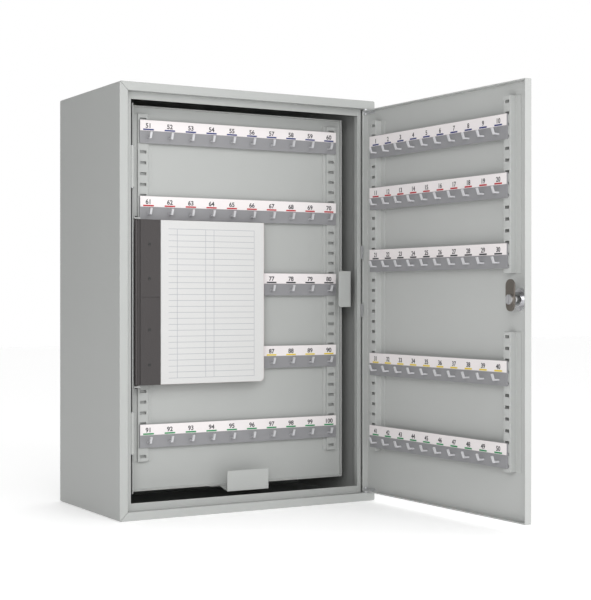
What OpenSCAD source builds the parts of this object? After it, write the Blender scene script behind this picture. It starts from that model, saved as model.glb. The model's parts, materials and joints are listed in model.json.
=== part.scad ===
// Wall key cabinet: folded sheet case, pan door, swing panel, hook bars, key register and cam lock.

/* [Case] */
// Width of the case
body_w = 374; // [300:1:450]
// Depth of the case
body_d = 215; // [150:1:260]
// Height of the case
body_h = 550; // [450:1:700]
// Sheet thickness of the case and the door
wall = 1.5; // [1:0.1:2]
// Outer radius of the case's folded edges
bend_r = 2.5; // [2.2:0.1:3]
// Width of the front lip on the top, bottom and lock side
lip = 11; // [8:0.5:16]
// Depth of the rebate that the door closes into
rebate = 12.5; // [11:0.5:16]
// Width of the inner flange behind the rebate
flange = 9; // [6:0.5:12]
// Distance between the wall holes, left to right
hole_dx = 280; // [200:1:320]
// Distance between the wall holes, up and down
hole_dz = 400; // [300:1:460]
// Diameter of the wall holes
hole_d = 8.5; // [5:0.5:12]

/* [Door] */
// Angle that the door stands open at
door_open = 91; // [0:1:103]
// Depth of the door pan
door_t = 9.3; // [8:0.1:12]
// Gap between the door and the lips
door_gap = 1.5; // [1:0.1:3]
// Distance from the outer right face to the door pivot
pivot_in = 10; // [9:0.1:14]
// Depth of the door pivot behind the front plane
pivot_y = 6.5; // [5:0.1:8]
// Diameter of the door pivot pins
pin_d = 4; // [3:0.1:6]
// Height of the lock axis
lock_z = 277.5; // [150:0.5:400]
// Distance from the free edge of the door to the lock axis
lock_in = 16.5; // [14:0.5:25]
// Projection of the door's slotted rails
door_rail_out = 9.6; // [6:0.1:12]

/* [Swing panel] */
// Depth of the panel behind the front plane
panel_y = 49; // [45:0.5:60]
// Height of the panel's lower edge
panel_z0 = 30.5; // [26:0.5:40]
// Height of the panel's upper edge
panel_z1 = 526.5; // [500:0.5:527]
// Right edge of the panel from the centre of the case
panel_x1 = 159.9; // [140:0.1:160]
// Sheet thickness of the panel
panel_t = 1.2; // [1:0.1:1.5]
// Sideways position of the panel's hinge axis
axis_x = -163.5; // [-165:0.1:-160]
// Depth of the panel's hinge axis
axis_y = 17.6; // [17.6:0.1:24]
// Projection of the panel's slotted rails
panel_rail_out = 4; // [3:0.1:8]

/* [Hook bars] */
// Number of hooks on a bar
hooks_per_bar = 10; // [5:1:12]
// Distance between hooks
hook_pitch = 29.9; // [20:0.1:35]
// Reach of a hook from its bar
hook_out = 11; // [9:0.5:11]
// Width of a hook
hook_w = 3; // [2:0.1:4]
// Thickness of a hook
hook_t = 2; // [1.4:0.1:2]
// Height of a bar
bar_h = 30.3; // [24:0.1:36]
// Length of a bar on the panel
panel_bar_len = 293; // [200:1:300]
// Length of a bar on the door
door_bar_len = 301; // [200:1:305]
// Distance from a rail's face to a bar's face
bar_out = 2; // [1.5:0.1:5]
// Height of a number strip
label_h = 14; // [10:0.5:18]
// Distance between slots on a rail
slot_pitch = 14.03; // [10:0.01:20]

/* [Register] */
// Width of a register page
page_w = 149; // [100:1:150]
// Height of a register page
page_h = 212; // [150:1:230]
// Height of the register's lower edge
reg_z0 = 167.5; // [120:0.5:250]

/* [Hidden] */
$fn = 48;

xr = body_w / 2;
xl = -body_w / 2;
// door, drawn shut and then swung open about its pivot
door_x0 = xl + lip + 2;
door_x1 = xr - 5.5;
door_y0 = 0.3;
door_y1 = door_y0 + door_t;
door_z0 = lip + door_gap;
door_z1 = body_h - lip - door_gap;
px = xr - pivot_in;
door_in = door_y0 + wall;
lock_x = door_x0 + lock_in;
// depth at which the cam begins
cam_y0 = 17.5;
// width of the lock nut over its corners
nut_d = 27;
cam_t = 2;
// opening edges of the inner flange
open_x0 = xl + lip + flange;
open_x1 = xr - lip - flange;
// how far inside the outer face the lips and returns begin, so that they merge with the walls
lap = 1;
// width and depth of the seams in the lip
seam_w = 0.8;
seam_d = 0.7;
// back of the pocket that the door's hinge edge turns in
post_y1 = 27;
// rails and bars
door_top = [for (k = [0, 5, 11, 21, 28]) 499 - k * slot_pitch];
panel_top = [for (k = [0, 7, 14, 21, 28]) 508.9 - k * slot_pitch];
slots = 32;
slot_off = 0.6;
door_rail_w = 12.8;
panel_rail_w = 14.5;
door_rail_a = px - 19.5 - door_rail_w / 2;
door_rail_b = px - 318.9;
door_bar_x = px - 20.3 - door_bar_len / 2;
panel_bar_x = 4.2;
panel_rail_a = -136.6;
panel_rail_b = 144;
// lower and upper ends of the rails, and the break in the door's free-side rail
door_rail_z0 = 71.5;
door_rail_z1 = 520.5;
door_break_z0 = 238.7;
door_break_z1 = 308.6;
panel_rail_z0 = 68;
panel_rail_z1 = 516.5;
pan_face = panel_y - panel_rail_out - bar_out;
door_face = door_in + door_rail_out + bar_out;
// panel's left wall
pw_x = axis_x + 2.9;
// register
rod_x = -153.3;
rod_y = 28.4;
reg_y0 = 26.2;
bind_x0 = rod_x + 5;
bind_x1 = -120.5;
// radius of the lower free corner of pages and cover
page_r = 6;
reg_z1 = reg_z0 + page_h;

// every module is drawn with the front plane at y = 0; this puts the origin under the middle of the case
module seat() {
    translate([0, -body_d / 2, 0]) children();
}

module box(a, b) {
    translate(a) cube([b[0] - a[0], b[1] - a[1], b[2] - a[2]]);
}

// outline of the case in its front plane, drawn in by the given inset, with corners of radius r
module rounded(inset, r) {
    w = body_w - 2 * inset;
    h = body_h - 2 * inset;
    translate([-w / 2 + r, inset]) square([w - 2 * r, h]);
    translate([-w / 2, inset + r]) square([w, h - 2 * r]);
    for (x = [-w / 2 + r, w / 2 - r], z = [inset + r, body_h - inset - r])
        translate([x, z]) circle(r = r);
}

module on_door() {
    seat() translate([px, pivot_y, 0]) rotate([0, 0, door_open])
        translate([-px, -pivot_y, 0]) children();
}

// cylinder along +y from point p
module bar_y(p, r, l) {
    translate(p) rotate([-90, 0, 0]) cylinder(r = r, h = l);
}

// ---------- case ----------
module cabinet_shell() {
    color([0.78, 0.79, 0.78]) seat() difference() {
        union() {
            translate([0, body_d, 0]) rotate([90, 0, 0]) linear_extrude(height = body_d)
                difference() {
                    rounded(0, bend_r);
                    rounded(wall, bend_r - wall);
                }
            // front lips
            box([xl + lap, 0, body_h - lip], [xr - lap, wall, body_h - lap]);
            box([xl + lap, 0, lap], [xr - lap, wall, lip]);
            box([xl + lap, 0, lap], [xl + lip, wall, body_h - lap]);
            // returns into the rebate
            box([xl + lap, 0, body_h - lip], [xr - lap, rebate + wall, body_h - lip + wall]);
            box([xl + lap, 0, lip - wall], [xr - lap, rebate + wall, lip]);
            box([xl + lip - wall, 0, lip - wall], [xl + lip, rebate + wall, body_h - lip + wall]);
            // inner flanges
            box([xl + lip - wall, rebate, body_h - lip - flange],
                [open_x1, rebate + wall, body_h - lip + wall]);
            box([xl + lip - wall, rebate, lip - wall],
                [open_x1, rebate + wall, lip + flange]);
            box([xl + lip - wall, rebate, lip - wall],
                [open_x0, rebate + wall, body_h - lip + wall]);
        }
        // mitre seams of the lip at the two folded corners
        for (s = [0, 1])
            translate([xl, -1, s * body_h]) rotate([0, (2 * s - 1) * 45, 0])
                translate([0, 0, -seam_w / 2]) cube([lip * sqrt(2), 1 + seam_d, seam_w]);
        // seats of the pivot pins
        for (z = [lip - wall - 1, body_h - lip - 1])
            translate([px, pivot_y, z]) cylinder(d = pin_d, h = wall + 2);
    }
}

module back_plate() {
    color([0.75, 0.76, 0.75]) seat() difference() {
        translate([0, body_d - 0.2, 0]) rotate([90, 0, 0]) linear_extrude(height = wall)
            rounded(wall, bend_r - wall);
        for (x = [-hole_dx / 2, hole_dx / 2], z = [-hole_dz / 2, hole_dz / 2])
            bar_y([x, body_d - 5, body_h / 2 + z], hole_d / 2, 10);
    }
}

module hinge_post() {
    color([0.78, 0.79, 0.78]) seat() {
        box([open_x1, rebate, lip], [open_x1 + 5.5, rebate + wall, body_h - lip]);
        box([open_x1 + 4, rebate, lip], [open_x1 + 5.5, post_y1, body_h - lip]);
        box([open_x1 + 4, post_y1 - wall, lip], [xr - wall, post_y1, body_h - lip]);
    }
}

// pins with a riveted head, one through each return
module door_pivot_pins() {
    color([0.7, 0.71, 0.72]) seat() {
        translate([px, pivot_y, body_h - lip - 7]) cylinder(d = pin_d, h = 7 + wall);
        translate([px, pivot_y, body_h - lip + wall]) cylinder(d = pin_d + 3, h = 1.5);
        translate([px, pivot_y, lip - wall]) cylinder(d = pin_d, h = 7 + wall);
        translate([px, pivot_y, lip - wall - 1.5]) cylinder(d = pin_d + 3, h = 1.5);
    }
}

module door_pivot_washers() {
    color([0.8, 0.8, 0.78]) seat() {
        for (z = [lip, body_h - lip - door_gap + 0.1])
            translate([px, pivot_y, z]) difference() {
                cylinder(d = pin_d + 5, h = door_gap - 0.1);
                translate([0, 0, -1]) cylinder(d = pin_d, h = 4);
            }
    }
}

// two pin hinges carry the panel: middle knuckle on the panel, end knuckles on the case
hinge_z = [82, 419];
hinge_h = 52;
module panel_case_leaves() {
    color([0.76, 0.77, 0.76]) seat() for (z = hinge_z) {
        difference() {
            union() {
                for (s = [0, hinge_h - 15])
                    translate([axis_x, axis_y, z + s]) cylinder(r = 3, h = 15);
                for (s = [0, hinge_h - 15])
                    box([xl + wall + 1.2, axis_y + 1.8, z + s], [axis_x, axis_y + 3, z + s + 15]);
                box([xl + wall, axis_y + 1.8, z], [xl + wall + 1.2, axis_y + 24, z + hinge_h]);
            }
            translate([axis_x, axis_y, z - 1]) cylinder(r = 1.5, h = hinge_h + 2);
        }
    }
}

module panel_hinge_pins() {
    color([0.72, 0.73, 0.74]) seat() for (z = hinge_z)
        translate([axis_x, axis_y, z - 1]) cylinder(r = 1.5, h = hinge_h + 2);
}

// ---------- door ----------
module door_pan() {
    color([0.72, 0.73, 0.72]) on_door() difference() {
        box([door_x0, door_y0, door_z0], [door_x1, door_y1, door_z1]);
        box([door_x0 + wall, door_in, door_z0 + wall],
            [door_x1 - wall, door_y1 + 1, door_z1 - wall]);
        translate([px, pivot_y, door_z0 - 1]) cylinder(d = pin_d + 0.1, h = 4);
        translate([px, pivot_y, door_z1 - 3]) cylinder(d = pin_d + 0.1, h = 4);
        bar_y([lock_x, -1, lock_z], 9, 6);
    }
}

module door_pivot_plates() {
    color([0.7, 0.71, 0.72]) on_door() for (z = [door_z0 + wall, door_z1 - wall - 3])
        difference() {
            box([door_x1 - wall - 20, door_in, z], [door_x1 - wall, door_y1 - 0.4, z + 3]);
            translate([px, pivot_y, z - 1]) cylinder(d = pin_d + 0.1, h = 5);
        }
}

module door_dogs() {
    color([0.8, 0.81, 0.8]) on_door() for (z = [253, 333])
        box([door_x1 - 3.2, door_y1, z], [door_x1 - 0.2, door_y1 + 2, z + 18]);
}

// slotted rail of hat section, drawn with its foot on the plane y = 0 and its face towards -y
module hat_rail(w, out, foot, t, z0, z1, zs, sw) {
    difference() {
        union() {
            box([-w / 2, -out, z0], [w / 2, -out + t, z1]);
            box([-w / 2, -out, z0], [-w / 2 + t, 0, z1]);
            box([w / 2 - t, -out, z0], [w / 2, 0, z1]);
            box([-w / 2 - foot, -t, z0], [-w / 2 + t, 0, z1]);
            box([w / 2 - t, -t, z0], [w / 2 + foot, 0, z1]);
        }
        for (k = [0 : slots - 1])
            if (zs - k * slot_pitch > z0 + 4 && zs - k * slot_pitch < z1 - 4)
                box([-sw / 2, -out - 1, zs - k * slot_pitch - 1.9],
                    [sw / 2, -out + t + 0.2, zs - k * slot_pitch + 1.9]);
    }
}

module door_rail(x, z0, z1) {
    color([0.76, 0.77, 0.76]) on_door() translate([x, door_in, 0]) mirror([0, 1, 0])
        hat_rail(door_rail_w, door_rail_out, 9, 1, z0, z1, door_top[0] + slot_off + slot_pitch, 8);
}
module door_rail_hinge_side() { door_rail(door_rail_a, door_rail_z0, door_rail_z1); }
module door_rail_upper() { door_rail(door_rail_b, door_break_z1, door_rail_z1); }
module door_rail_lower() { door_rail(door_rail_b, door_rail_z0, door_break_z0); }

// hook bar, drawn with its face on the plane y = 0 and its back towards +y, top edge at z = 0
module hook_bar(len, rail_a, rail_b, tab) {
    box([-len / 2, 0, -bar_h], [len / 2, 1, 0]);
    for (s = [-1, 1])
        box([s * len / 2 - (s > 0 ? 1 : 0), 0, -bar_h], [s * len / 2 + (s > 0 ? 0 : 1), bar_out, 0]);
    for (x = [rail_a, rail_b], k = [1, 2])
        box([x - tab / 2, 0.5, slot_off - k * slot_pitch - 1.8],
            [x + tab / 2, bar_out + 2.5, slot_off - k * slot_pitch + 0.6]);
}

module door_bar(i) {
    color([0.62, 0.62, 0.64]) on_door() translate([door_bar_x, door_face, door_top[i]])
        mirror([0, 1, 0])
            hook_bar(door_bar_len, door_rail_a - door_bar_x, door_rail_b - door_bar_x, 7);
}
module door_bar_1() { door_bar(0); }
module door_bar_2() { door_bar(1); }
module door_bar_3() { door_bar(2); }
module door_bar_4() { door_bar(3); }
module door_bar_5() { door_bar(4); }

module door_number_strips() {
    color([0.93, 0.9, 0.9]) on_door() for (z = door_top)
        box([door_bar_x - door_bar_len / 2 + 0.5, door_face, z - label_h],
            [door_bar_x + door_bar_len / 2 - 0.5, door_face + 0.6, z - 0.3]);
}

// one hook: a bent strip, drawn with its root on the plane y = 0 and reaching towards -y
module hook() {
    translate([-hook_w / 2, 0, 0]) rotate([90, 0, 90]) linear_extrude(height = hook_w)
        polygon([
            [0, -hook_t / 2], [-hook_out + 3, -hook_t / 2], [-hook_out, 6.9],
            [-hook_out + hook_t - 0.1, 7.4], [-hook_out + 4.1, hook_t / 2], [0, hook_t / 2]
        ]);
}

module hook_row() {
    for (k = [0 : hooks_per_bar - 1])
        translate([(k - (hooks_per_bar - 1) / 2) * hook_pitch, 0, -23.2]) hook();
}

module door_hooks(i) {
    color([0.8, 0.8, 0.82]) on_door() translate([door_bar_x, door_face, door_top[i]])
        mirror([0, 1, 0]) hook_row();
}
module door_hooks_1() { door_hooks(0); }
module door_hooks_2() { door_hooks(1); }
module door_hooks_3() { door_hooks(2); }
module door_hooks_4() { door_hooks(3); }
module door_hooks_5() { door_hooks(4); }

// ---------- lock ----------
module lock_body() {
    color([0.8, 0.8, 0.82]) on_door() difference() {
        union() {
            bar_y([lock_x, -2.7, lock_z], 11.5, 3);
            bar_y([lock_x, 0.3, lock_z], 9, cam_y0 - 0.5);
        }
        bar_y([lock_x, -4, lock_z], 5.05, 24);
    }
}

module lock_nut() {
    color([0.82, 0.82, 0.84]) on_door() difference() {
        translate([lock_x, door_in, lock_z]) rotate([-90, 0, 0]) rotate([0, 0, 30])
            cylinder(d = nut_d, h = 5, $fn = 6);
        bar_y([lock_x, door_in - 1, lock_z], 9, 8);
    }
}

// core with the key slot in front and a square tang for the cam behind
module lock_plug() {
    color([0.75, 0.72, 0.6]) on_door() difference() {
        union() {
            bar_y([lock_x, -2.7, lock_z], 5, cam_y0 + 2.7);
            box([lock_x - 3, cam_y0 - 0.2, lock_z - 3], [lock_x + 3, cam_y0 + cam_t, lock_z + 3]);
        }
        box([lock_x - 0.8, -4, lock_z - 3.6], [lock_x + 0.8, 6, lock_z + 3.6]);
        bar_y([lock_x, cam_y0 - 8, lock_z], 1.9, 12);
    }
}

module lock_cam() {
    color([0.5, 0.47, 0.43]) on_door() difference() {
        translate([lock_x, cam_y0, lock_z]) rotate([-90, 0, 0]) union() {
            cylinder(r = 8, h = cam_t);
            translate([0, -16, 0]) cylinder(r = 8, h = cam_t);
            translate([-8, -16, 0]) cube([16, 16, cam_t]);
            translate([0, 6.5, 0]) cylinder(r = 7.5, h = cam_t);
        }
        box([lock_x - 3, cam_y0 - 1, lock_z - 3], [lock_x + 3, cam_y0 + 4, lock_z + 3]);
    }
}

module cam_screw() {
    color([0.82, 0.82, 0.84]) on_door() {
        bar_y([lock_x, cam_y0 - 7, lock_z], 1.9, 7 + cam_t);
        difference() {
            bar_y([lock_x, cam_y0 + cam_t, lock_z], 6, 2);
            box([lock_x - 0.5, cam_y0 + cam_t + 1, lock_z - 7],
                [lock_x + 0.5, cam_y0 + cam_t + 3, lock_z + 7]);
        }
    }
}

// ---------- swing panel ----------
module panel_sheet() {
    color([0.8, 0.81, 0.8]) seat() {
        box([pw_x, panel_y, panel_z0], [panel_x1, panel_y + panel_t, panel_z1]);
        // forward edges
        box([panel_x1 - panel_t, panel_y - 6, panel_z0], [panel_x1, panel_y + panel_t, panel_z1]);
        box([pw_x, panel_y - 6, panel_z1 - panel_t], [panel_x1, panel_y + panel_t, panel_z1]);
        box([pw_x, panel_y - 6, panel_z0], [panel_x1, panel_y + panel_t, panel_z0 + panel_t]);
        // hinge side wall
        box([pw_x, axis_y + 5.5, panel_z0], [pw_x + panel_t, panel_y + panel_t, panel_z1]);
    }
}

module panel_leaves() {
    color([0.78, 0.79, 0.78]) seat() for (z = hinge_z)
        difference() {
            union() {
                translate([axis_x, axis_y, z + 15.2]) cylinder(r = 3, h = hinge_h - 30.4);
                box([pw_x - 1.2, axis_y, z + 15.2], [pw_x, axis_y + 12, z + hinge_h - 15.2]);
                box([pw_x - 1.2, axis_y + 6, z], [pw_x, axis_y + 22, z + hinge_h]);
            }
            translate([axis_x, axis_y, z - 1]) cylinder(r = 1.55, h = hinge_h + 2);
        }
}

module panel_rail(x) {
    color([0.8, 0.81, 0.8]) seat() translate([x, panel_y, 0])
        hat_rail(panel_rail_w, panel_rail_out, 5, 1, panel_rail_z0, panel_rail_z1,
            panel_top[0] + slot_off, 8.6);
}
module panel_rail_left() { panel_rail(panel_rail_a); }
module panel_rail_right() { panel_rail(panel_rail_b); }

// bent pull tab at the free edge of the panel
grip_y = 21;
grip_z0 = 266.5;
grip_z1 = 316;
module side_grip() {
    color([0.83, 0.84, 0.83]) seat() {
        box([panel_x1, grip_y, grip_z0], [panel_x1 + 1.2, panel_y, grip_z1]);
        difference() {
            box([panel_x1 - 17.5, grip_y, grip_z0], [panel_x1 + 1.2, grip_y + 1.2, grip_z1]);
            for (z = [grip_z0, grip_z1 - 3])
                difference() {
                    box([panel_x1 - 18.5, grip_y - 1, z - (z > 300 ? 0 : 1)],
                        [panel_x1 - 14.5, grip_y + 3, z + (z > 300 ? 4 : 3)]);
                    bar_y([panel_x1 - 14.5, grip_y - 2, z + (z > 300 ? 0 : 3)], 3, 6);
                }
        }
    }
}

// bent pull tab at the lower edge of the panel
module lower_grip() {
    color([0.83, 0.84, 0.83]) seat() {
        box([-42, 44, panel_z0 - 1.2], [33, 49, panel_z0]);
        translate([-28, 0, 0]) rotate([90, 0, 90]) linear_extrude(height = 61)
            polygon([
                [grip_y, 24.6], [44.5, panel_z0 - 1.2], [44.5, panel_z0], [grip_y + 1.2, 25.9],
                [grip_y + 1.2, 51.5], [grip_y, 51.5]
            ]);
    }
}

module panel_bar(i) {
    color([0.62, 0.62, 0.64]) seat() translate([panel_bar_x, pan_face, panel_top[i]])
        hook_bar(panel_bar_len, panel_rail_a - panel_bar_x, panel_rail_b - panel_bar_x, 7.6);
}
module panel_bar_1() { panel_bar(0); }
module panel_bar_2() { panel_bar(1); }
module panel_bar_3() { panel_bar(2); }
module panel_bar_4() { panel_bar(3); }
module panel_bar_5() { panel_bar(4); }

module panel_number_strips() {
    color([0.95, 0.93, 0.93]) seat() for (z = panel_top)
        box([panel_bar_x - panel_bar_len / 2 + 0.5, pan_face - 0.6, z - label_h],
            [panel_bar_x + panel_bar_len / 2 - 0.5, pan_face, z - 0.3]);
}

module panel_hooks(i) {
    color([0.8, 0.8, 0.82]) seat() translate([panel_bar_x, pan_face, panel_top[i]]) hook_row();
}
module panel_hooks_1() { panel_hooks(0); }
module panel_hooks_2() { panel_hooks(1); }
module panel_hooks_3() { panel_hooks(2); }
module panel_hooks_4() { panel_hooks(3); }
module panel_hooks_5() { panel_hooks(4); }

// ---------- register ----------
module register_brackets() {
    color([0.8, 0.81, 0.8]) seat() for (s = [0, 1]) {
        z = s ? reg_z1 + 0.5 : reg_z0 - 2.5;
        difference() {
            box([rod_x - 4.5, rod_y - 4.5, z], [rod_x + 4, panel_y, z + 1.5]);
            translate([rod_x, rod_y, z - 1]) cylinder(r = 1.6, h = 4);
        }
        box([rod_x - 4.5, panel_y - 1.2, s ? z : z - 14], [rod_x + 4, panel_y, s ? z + 15 : z + 1]);
    }
}

module register_rod() {
    color([0.25, 0.25, 0.26]) seat()
        translate([rod_x, rod_y, reg_z0 - 4]) cylinder(r = 1.6, h = page_h + 8);
}

module register_binding() {
    color([0.28, 0.26, 0.26]) seat() difference() {
        union() {
            translate([rod_x, rod_y, reg_z0]) cylinder(r = 2.4, h = page_h);
            box([rod_x, rod_y - 0.8, reg_z0], [bind_x0 + 0.5, rod_y + 0.8, reg_z1]);
            box([bind_x0, reg_y0, reg_z0], [bind_x1, reg_y0 + 4.2, reg_z1]);
        }
        translate([rod_x, rod_y, reg_z0 - 1]) cylinder(r = 1.65, h = page_h + 2);
        // pocket for the cover board
        box([bind_x0 + 1.5, reg_y0 + 1.5, reg_z0 + 0.3], [bind_x1 + 1, reg_y0 + 2.8, reg_z1 - 0.3]);
        // gap between the upper and the lower half of the front strip
        box([rod_x - 4, reg_y0 - 1, reg_z0 + page_h / 2 + 6.2],
            [bind_x1 + 1, reg_y0 + 0.5, reg_z0 + page_h / 2 + 6.8]);
    }
}

rivet_x = -135.8;
rivet_z = [26, 71, 136.5, 180.5];
module register_rivets() {
    color([0.6, 0.6, 0.6]) seat() for (z = rivet_z)
        bar_y([rivet_x, reg_y0 - 0.5, reg_z0 + z], 2, 0.5);
}

module register_cover() {
    color([0.72, 0.62, 0.62]) seat()
        page_board([bind_x0 + 1.7, reg_y0 + 1.5, reg_z0 + 0.3],
            [bind_x1 + page_w + 1.2, reg_y0 + 2.8, reg_z1 - 0.3]);
}

// board in the plane of the page, with its lower right corner rounded
module page_board(a, b) {
    box([a[0], a[1], a[2]], [b[0] - page_r, b[1], b[2]]);
    box([b[0] - page_r - 1, a[1], a[2] + page_r], [b[0], b[1], b[2]]);
    bar_y([b[0] - page_r, a[1], a[2] + page_r], page_r, b[1] - a[1]);
}

// block of pages, which lies on the cover and meets the binding
module register_pages() {
    color([0.93, 0.93, 0.93]) seat()
        page_board([bind_x1, reg_y0 + 0.6, reg_z0 + 0.6], [bind_x1 + page_w, reg_y0 + 1.5, reg_z1 - 0.3]);
}

// the top page, which turns about its own left edge
module register_leaf() {
    color([0.95, 0.95, 0.95]) seat()
        page_board([bind_x1 + 0.6, reg_y0, reg_z0 + 0.6], [bind_x1 + page_w, reg_y0 + 0.3, reg_z1 - 0.3]);
}

cabinet_shell();
back_plate();
hinge_post();
door_pivot_pins();
door_pivot_washers();
panel_case_leaves();
panel_hinge_pins();
door_pan();
door_pivot_plates();
door_dogs();
door_rail_hinge_side();
door_rail_upper();
door_rail_lower();
door_bar_1();
door_bar_2();
door_bar_3();
door_bar_4();
door_bar_5();
door_number_strips();
door_hooks_1();
door_hooks_2();
door_hooks_3();
door_hooks_4();
door_hooks_5();
lock_body();
lock_nut();
lock_plug();
lock_cam();
cam_screw();
panel_sheet();
panel_leaves();
panel_rail_left();
panel_rail_right();
side_grip();
lower_grip();
panel_bar_1();
panel_bar_2();
panel_bar_3();
panel_bar_4();
panel_bar_5();
panel_number_strips();
panel_hooks_1();
panel_hooks_2();
panel_hooks_3();
panel_hooks_4();
panel_hooks_5();
register_brackets();
register_rod();
register_binding();
register_rivets();
register_cover();
register_pages();
register_leaf();
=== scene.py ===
"""Wall key cabinet: the CAD frame with finished materials, printed hook numbers, light and camera."""
import json
import math

import bpy
from mathutils import Matrix, Vector


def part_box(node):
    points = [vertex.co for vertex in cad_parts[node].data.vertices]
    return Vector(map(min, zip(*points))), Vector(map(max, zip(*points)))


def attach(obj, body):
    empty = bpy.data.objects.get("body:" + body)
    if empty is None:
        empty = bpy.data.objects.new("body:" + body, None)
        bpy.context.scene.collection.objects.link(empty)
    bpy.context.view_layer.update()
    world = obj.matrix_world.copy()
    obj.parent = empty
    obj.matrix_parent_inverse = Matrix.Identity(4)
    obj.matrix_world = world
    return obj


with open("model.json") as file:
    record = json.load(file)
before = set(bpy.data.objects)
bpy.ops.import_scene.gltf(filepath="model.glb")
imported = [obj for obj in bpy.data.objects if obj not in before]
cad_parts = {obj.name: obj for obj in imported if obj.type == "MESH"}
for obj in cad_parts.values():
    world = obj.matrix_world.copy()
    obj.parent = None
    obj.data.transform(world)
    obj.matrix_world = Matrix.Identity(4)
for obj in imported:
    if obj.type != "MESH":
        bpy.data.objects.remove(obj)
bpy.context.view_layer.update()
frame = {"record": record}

MM = 0.001
# rows of hooks on the panel and on the door, and hooks in a row
ROWS = range(1, 6)
HOOKS = 10
joints = {j["name"]: j for j in frame["record"]["behaviour"]["joints"]}
slots = {s["node"]: s["material_slot"] for s in frame["record"]["subparts"]}


# ---------- camera ----------
# level camera in front of the case and to its left, turned towards it
CAMERA_PLACE = (-0.87065, -1.79841, 0.28090)
CAMERA_YAW = -31.422
SENSOR_MM = 36
LENS_MM = 86.744
LENS_SHIFT = (-0.1063, -0.00576)


def add_camera():
    data = bpy.data.cameras.new("camera")
    data.sensor_width = SENSOR_MM
    data.lens = LENS_MM
    data.shift_x, data.shift_y = LENS_SHIFT
    cam = bpy.data.objects.new("camera", data)
    cam.location = CAMERA_PLACE
    cam.rotation_euler = (math.radians(90), 0, math.radians(CAMERA_YAW))
    bpy.context.collection.objects.link(cam)
    bpy.context.scene.camera = cam


# ---------- light and floor ----------
# the surround is dimmest where a direction's x is below DIM_END, and white where it is above WHITE_END
DIM_END = -0.9
WHITE_END = 0.25
DIMMEST = 0.14
# half the side of the floor, in metres
FLOOR_HALF = 6
# constant glow that lifts the far floor to the white of the surround
FLOOR_GLOW = 0.27


def add_area(name, place, target, size, power):
    data = bpy.data.lights.new(name, "AREA")
    data.size = size
    data.energy = power
    lamp = bpy.data.objects.new(name, data)
    lamp.location = place
    lamp.rotation_euler = (Vector(target) - Vector(place)).to_track_quat("-Z", "Y").to_euler()
    bpy.context.collection.objects.link(lamp)


def add_world():
    """A white surround that is dimmer towards -X, so the left side of the case is in half shade."""
    world = bpy.data.worlds.new("studio")
    bpy.context.scene.world = world
    world.use_nodes = True
    nodes, links = world.node_tree.nodes, world.node_tree.links
    coord = nodes.new("ShaderNodeTexCoord")
    split = nodes.new("ShaderNodeSeparateXYZ")
    spread = nodes.new("ShaderNodeMapRange")
    spread.inputs["From Min"].default_value = DIM_END
    spread.inputs["From Max"].default_value = WHITE_END
    spread.inputs["To Min"].default_value = DIMMEST
    spread.inputs["To Max"].default_value = 1.0
    links.new(coord.outputs["Generated"], split.inputs[0])
    links.new(split.outputs["X"], spread.inputs["Value"])
    links.new(spread.outputs["Result"], nodes["Background"].inputs["Color"])


def add_floor():
    signs = ((-1, -1), (1, -1), (1, 1), (-1, 1))
    corners = [(sx * FLOOR_HALF, sy * FLOOR_HALF, 0) for sx, sy in signs]
    mesh = bpy.data.meshes.new("floor")
    mesh.from_pydata(corners, [], [(0, 1, 2, 3)])
    floor = bpy.data.objects.new("floor", mesh)
    bpy.context.collection.objects.link(floor)
    white = noisy("floor_white", (0.93, 0.93, 0.93), 0.7, vary=0.01, grain=300, bump=0.02)
    mesh.materials.append(white)
    bsdf = white.node_tree.nodes["Principled BSDF"]
    bsdf.inputs["Emission Color"].default_value = (1, 1, 1, 1)
    bsdf.inputs["Emission Strength"].default_value = FLOOR_GLOW


# ---------- materials ----------
# scale of the cloudy colour, and height of the fine grain in metres
CLOUD_SCALE = 9
GRAIN_DEPTH = 0.0002
# how far the cloud takes the roughness below and above the given one
SMOOTHER = 0.05
ROUGHER = 0.06
# painted highlight: the light tone painted on an edge where it catches the light
EDGE_HIGHLIGHT_TONE = (0.9, 0.9, 0.9)
# the mix node's two colour inputs and its colour output
MIX_FIRST = 6
MIX_SECOND = 7
MIX_RESULT = 2


def surface(name):
    mat = bpy.data.materials.new(name)
    mat.use_nodes = True
    tree = mat.node_tree
    return mat, tree.nodes, tree.links, tree.nodes["Principled BSDF"]


def noise(nodes, links, coord, scale, detail=3):
    tex = nodes.new("ShaderNodeTexNoise")
    tex.inputs["Scale"].default_value = scale
    tex.inputs["Detail"].default_value = detail
    links.new(coord, tex.inputs["Vector"])
    return tex.outputs["Fac"]


def ranged(nodes, links, value, low, high):
    spread = nodes.new("ShaderNodeMapRange")
    spread.inputs["To Min"].default_value = low
    spread.inputs["To Max"].default_value = high
    links.new(value, spread.inputs["Value"])
    return spread.outputs["Result"]


def mix(nodes, links, factor, first, second):
    """Colour mix; each of first and second is a colour or a socket."""
    node = nodes.new("ShaderNodeMix")
    node.data_type = "RGBA"
    links.new(factor, node.inputs["Factor"])
    for socket, value in ((node.inputs[MIX_FIRST], first), (node.inputs[MIX_SECOND], second)):
        if isinstance(value, tuple):
            socket.default_value = (*value, 1)
        else:
            links.new(value, socket)
    return node.outputs[MIX_RESULT]


def maths(nodes, links, operation, first, second=None):
    node = nodes.new("ShaderNodeMath")
    node.operation = operation
    for socket, value in zip(node.inputs, (first, second)):
        if isinstance(value, (int, float)):
            socket.default_value = value
        elif value is not None:
            links.new(value, socket)
    return node.outputs[0]


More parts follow.
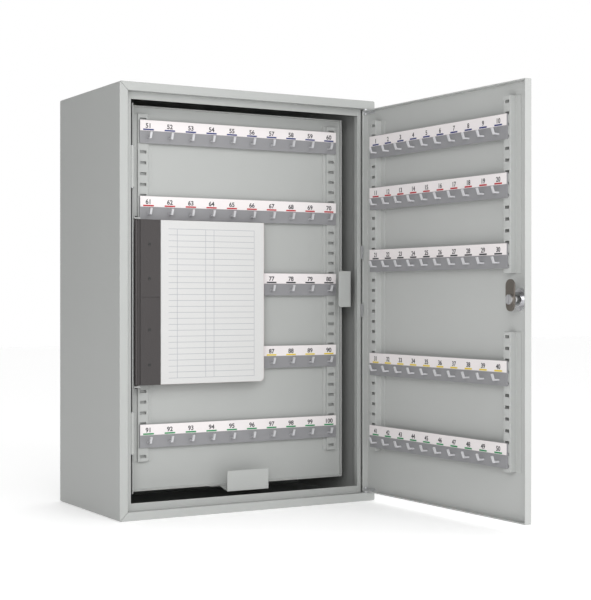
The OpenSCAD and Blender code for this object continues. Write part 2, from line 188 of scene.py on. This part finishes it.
def noisy(name, colour, rough, metal=0.0, vary=0.04, grain=900, bump=0.15, stretch=(1, 1, 1),
          coat=0.0, edge=0.0, round_mm=0.0):
    """A surface with cloudy colour and roughness, fine grain, and optional soft edges with a painted
    highlight.
    """
    mat, nodes, links, bsdf = surface(name)
    bsdf.inputs["Metallic"].default_value = metal
    bsdf.inputs["Coat Weight"].default_value = coat
    coord = nodes.new("ShaderNodeTexCoord").outputs["Object"]
    scaled = nodes.new("ShaderNodeMapping")
    scaled.inputs["Scale"].default_value = stretch
    links.new(coord, scaled.inputs["Vector"])
    cloud = noise(nodes, links, coord, CLOUD_SCALE)
    fine = noise(nodes, links, scaled.outputs[0], grain, detail=2)
    dark = tuple(c * (1 - vary) for c in colour)
    light = tuple(min(1, c * (1 + vary)) for c in colour)
    tint = mix(nodes, links, cloud, dark, light)
    sheen = ranged(nodes, links, cloud, rough - SMOOTHER, rough + ROUGHER)
    links.new(sheen, bsdf.inputs["Roughness"])
    relief = nodes.new("ShaderNodeBump")
    relief.inputs["Strength"].default_value = bump
    relief.inputs["Distance"].default_value = GRAIN_DEPTH
    links.new(fine, relief.inputs["Height"])
    if round_mm:
        soft = nodes.new("ShaderNodeBevel")
        soft.samples = 4
        soft.inputs["Radius"].default_value = round_mm * MM
        links.new(soft.outputs[0], relief.inputs["Normal"])
        if edge:
            flat = nodes.new("ShaderNodeNewGeometry")
            dot = nodes.new("ShaderNodeVectorMath")
            dot.operation = "DOT_PRODUCT"
            links.new(soft.outputs[0], dot.inputs[0])
            links.new(flat.outputs["Normal"], dot.inputs[1])
            # painted highlight: where the bevel bends the normal, the colour is lightened towards the
            # edge's light tone, patchily with the cloud
            bend = maths(nodes, links, "SUBTRACT", 1, dot.outputs["Value"])
            edge_highlight = maths(nodes, links, "MULTIPLY", bend, maths(nodes, links, "MULTIPLY", cloud, edge))
            tint = mix(nodes, links, edge_highlight, tint, EDGE_HIGHLIGHT_TONE)
    links.new(tint, bsdf.inputs["Base Color"])
    links.new(relief.outputs["Normal"], bsdf.inputs["Normal"])
    return mat


# printed rows of the register: their number and pitch, the heading above them and half a line's width
PAGE_ROWS = 25
PAGE_PITCH = 7.7 * MM
PAGE_HEADING = 11 * MM
LINE_HALF = 0.3 * MM
# shares of the page's width: where the printed rows begin, then the column rules; the last ends the rows
COLUMN_SHARES = (0.071, 0.153, 0.425, 0.506, 0.904)
PAPER_DARK = (0.54, 0.54, 0.54)
PAPER_LIGHT = (0.62, 0.62, 0.61)
LINE_TONE = (0.34, 0.35, 0.38)
FIBRE_SCALE = 700
FIBRE_DEPTH = 0.0001
PAPER_ROUGH = 0.8


def line_mask(nodes, links, value, centre, half):
    """1 where value is nearer to centre than half, 0 elsewhere."""
    away = maths(nodes, links, "ABSOLUTE", maths(nodes, links, "SUBTRACT", value, centre))
    return maths(nodes, links, "LESS_THAN", away, half)


def ruled_paper():
    """Paper with a heading space, printed rows and column rules, placed from the page's own box."""
    low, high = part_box("register_leaf")
    mat, nodes, links, bsdf = surface("ruled_paper")
    coord = nodes.new("ShaderNodeTexCoord").outputs["Object"]
    split = nodes.new("ShaderNodeSeparateXYZ")
    links.new(coord, split.inputs[0])
    across, up = split.outputs["X"], split.outputs["Z"]
    down = maths(nodes, links, "SUBTRACT", high[2] - PAGE_HEADING, up)
    phase = maths(nodes, links, "PINGPONG", down, PAGE_PITCH / 2)
    rules = maths(nodes, links, "LESS_THAN", phase, LINE_HALF)
    columns = [low[0] + share * (high[0] - low[0]) for share in COLUMN_SHARES]
    middle, reach = (columns[0] + columns[-1]) / 2, (columns[-1] - columns[0]) / 2
    rules = maths(nodes, links, "MULTIPLY", rules, line_mask(nodes, links, across, middle, reach))
    for place in columns[1:]:
        column = line_mask(nodes, links, across, place, LINE_HALF)
        rules = maths(nodes, links, "MAXIMUM", rules, column)
    inside = maths(nodes, links, "GREATER_THAN", down, -LINE_HALF)
    above_foot = maths(nodes, links, "LESS_THAN", down, PAGE_ROWS * PAGE_PITCH + LINE_HALF)
    within = maths(nodes, links, "MULTIPLY", inside, above_foot)
    rules = maths(nodes, links, "MULTIPLY", rules, within)
    fibre = noise(nodes, links, coord, FIBRE_SCALE)
    sheet = mix(nodes, links, fibre, PAPER_DARK, PAPER_LIGHT)
    links.new(mix(nodes, links, rules, sheet, LINE_TONE), bsdf.inputs["Base Color"])
    bsdf.inputs["Roughness"].default_value = PAPER_ROUGH
    relief = nodes.new("ShaderNodeBump")
    relief.inputs["Strength"].default_value = 0.1
    relief.inputs["Distance"].default_value = FIBRE_DEPTH
    links.new(fibre, relief.inputs["Height"])
    links.new(relief.outputs["Normal"], bsdf.inputs["Normal"])
    return mat


# what the paint of the case, the door and the panel shares
PAINT = dict(vary=0.03, grain=620, bump=0.4, edge=1.2, round_mm=0.9)
# material slot -> function that makes its material: name, colour, roughness and, for metals, how metallic
FINISHES = {
    "case_paint": lambda: noisy("case_coat", (0.39, 0.40, 0.39), 0.42, **PAINT),
    # the door's coat is the case's paint made lighter as painted light, standing in for the light on the
    # door's inner face
    "door_paint": lambda: noisy("door_coat_lit", (0.45, 0.46, 0.45), 0.42, **PAINT),
    "panel_paint": lambda: noisy("panel_coat", (0.40, 0.41, 0.40), 0.42, **PAINT),
    "bar_paint": lambda: noisy("bar_coat", (0.25, 0.25, 0.26), 0.42,
                               vary=0.04, bump=0.1, edge=1, round_mm=0.5),
    "hook_steel": lambda: noisy("hook_zinc", (0.62, 0.62, 0.64), 0.38, 0.25,
                                grain=500, stretch=(1, 1, 4), round_mm=0.3),
    "zinc_steel": lambda: noisy("zinc", (0.68, 0.68, 0.70), 0.33, 1,
                                vary=0.08, grain=400, round_mm=0.3),
    "lock_chrome": lambda: noisy("lock_nickel", (0.55, 0.55, 0.56), 0.12, 1,
                                 vary=0.1, bump=0.03, round_mm=0.4),
    "plug_brass": lambda: noisy("plug_metal", (0.66, 0.60, 0.46), 0.25, 1,
                                vary=0.05, bump=0.05, round_mm=0.2),
    "cam_steel": lambda: noisy("cam_metal", (0.19, 0.17, 0.15), 0.4, 0.8,
                               vary=0.12, grain=350, round_mm=0.4),
    "number_strip": lambda: noisy("strip_white", (0.78, 0.74, 0.74), 0.5,
                                  vary=0.015, bump=0.03, coat=0.1),
    "page_paper": ruled_paper,
    "cover_board": lambda: noisy("cover_board", (0.58, 0.46, 0.46), 0.75, vary=0.05, grain=600),
    "binding_plastic": lambda: noisy("binding", (0.042, 0.037, 0.037), 0.5,
                                     vary=0.15, grain=520, bump=0.5, round_mm=0.3),
    "rod_black": lambda: noisy("rod_black", (0.02, 0.02, 0.02), 0.35, vary=0.2, bump=0.05),
}


def finish_nodes():
    made = {name: make() for name, make in FINISHES.items()}
    for node, slot_name in slots.items():
        for material_slot in bpy.data.objects[node].material_slots:
            material_slot.link = "DATA"
            material_slot.material = made[slot_name]


# ---------- hook numbers ----------
# printed numbers: size of the figures, half their thickness and how much their strokes are fattened
NUMBER_SIZE = 8.2 * MM
NUMBER_HALF_THICK = 0.05 * MM
NUMBER_FAT = 0.2 * MM
# gap between a number and the dash under it
NUMBER_GAP = 1.3 * MM
# coloured dash: half its width, its height and its thickness
DASH_HALF = 7.4 * MM
DASH_HEIGHT = 1.9 * MM
DASH_THICK = 0.12 * MM
# height of a strip, and how far above its foot the dashes begin
STRIP_HEIGHT = 14 * MM
DASH_FOOT = 0.6 * MM
HOOK_WIDTH = 3 * MM
# places of the two inks among the materials of a printed row
GREY_INK = 0
ROW_INK = 1
# one ink for each row, from the top
INKS = {"navy": (0.02, 0.03, 0.16), "red": (0.45, 0.02, 0.03), "grey": (0.03, 0.03, 0.035),
        "yellow": (0.72, 0.55, 0.03), "green": (0.02, 0.25, 0.08)}


def door_shut():
    """Matrix from the door's shut place to its place at rest."""
    hinge = joints["door_swing"]
    pivot = Matrix.Translation(Vector(hinge["pos_m"]))
    turn = Matrix.Rotation(math.radians(-hinge["range_deg"][0]), 4, "Z")
    return pivot @ turn @ pivot.inverted()


def local_box(node, back):
    """Lowest and highest corner of a node after its points are moved by the matrix back."""
    points = [back @ v.co for v in bpy.data.objects[node].data.vertices]
    return [[pick(p[k] for p in points) for k in range(3)] for pick in (min, max)]


def glyph_mesh(text):
    curve = bpy.data.curves.new("glyph", "FONT")
    curve.body = text
    curve.size = NUMBER_SIZE
    curve.align_x = "CENTER"
    curve.extrude = NUMBER_HALF_THICK
    curve.offset = NUMBER_FAT
    piece = bpy.data.objects.new("glyph", curve)
    bpy.context.collection.objects.link(piece)
    bpy.context.view_layer.update()
    mesh = bpy.data.meshes.new_from_object(piece)
    bpy.data.objects.remove(piece)
    return mesh


def print_row(name, body, first, ink, place, spots, z_dash):
    """Ten numbers over ten coloured dashes. place maps (across, up, out) to the frame."""
    points, faces, tones = [], [], []

    def add(vertices, polygons, tone):
        start = len(points)
        points.extend(vertices)
        faces.extend([start + i for i in polygon] for polygon in polygons)
        tones.extend([tone] * len(polygons))

    cube_faces = [(0, 1, 2, 3), (7, 6, 5, 4), (0, 4, 5, 1), (1, 5, 6, 2), (2, 6, 7, 3), (3, 7, 4, 0)]
    for k, across in enumerate(spots):
        glyph = glyph_mesh(str(first + k))
        base = Matrix.Translation((across, z_dash + DASH_HEIGHT + NUMBER_GAP, NUMBER_HALF_THICK))
        add([place @ base @ v.co for v in glyph.vertices], [p.vertices[:] for p in glyph.polygons],
            GREY_INK)
        bpy.data.meshes.remove(glyph)
        corners = [(sx * DASH_HALF + across, z_dash + up, out) for out in (DASH_THICK, 0)
                   for sx, up in ((-1, 0), (1, 0), (1, DASH_HEIGHT), (-1, DASH_HEIGHT))]
        add([place @ Vector(c) for c in corners], cube_faces, ROW_INK)
    mesh = bpy.data.meshes.new(name)
    mesh.from_pydata(points, [], faces)
    mesh.materials.append(INK_MATS["grey"])
    mesh.materials.append(INK_MATS[ink])
    for polygon, tone in zip(mesh.polygons, tones):
        polygon.material_index = tone
    piece = bpy.data.objects.new(name, mesh)
    bpy.context.collection.objects.link(piece)
    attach(piece, body)


def print_side(body, first, back, outward):
    """All rows of one body; outward is +1 where the strips face +Y with the door shut, -1 where -Y."""
    strips = local_box(f"{body}_number_strips", back)
    face_y = strips[1][1] if outward > 0 else strips[0][1]
    # across, up and out of the strip's face become the frame's axes
    axes = Matrix(((-outward, 0, 0, 0), (0, 0, outward, face_y), (0, 1, 0, 0), (0, 0, 0, 1)))
    for i, ink in zip(ROWS, INKS):
        top = local_box(f"{body}_bar_{i}", back)[1][2]
        low, high = local_box(f"{body}_hooks_{i}", back)
        start = low[0] + HOOK_WIDTH / 2
        step = (high[0] - low[0] - HOOK_WIDTH) / (HOOKS - 1)
        spots = sorted(-outward * (start + k * step) for k in range(HOOKS))
        print_row(f"{body}_numbers_{i}", body, first + (i - 1) * HOOKS, ink,
                  back.inverted() @ axes, spots, top - STRIP_HEIGHT + DASH_FOOT)


bpy.context.scene.view_settings.view_transform = "Standard"
add_camera()
add_world()
add_floor()
add_area("key", place=(0.3, -2.6, 1.9), target=(0.05, -0.15, 0.28), size=1.3, power=16)
add_area("fill", place=(-0.7, -1.3, 0.6), target=(0.1, -0.15, 0.25), size=0.7, power=9)
finish_nodes()
INK_MATS = {name: noisy(f"ink_{name}", colour, 0.55, vary=0.1, grain=900, bump=0.03)
            for name, colour in INKS.items()}
print_side("panel", 1 + HOOKS * len(ROWS), Matrix.Identity(4), -1)
print_side("door", 1, door_shut().inverted(), 1)
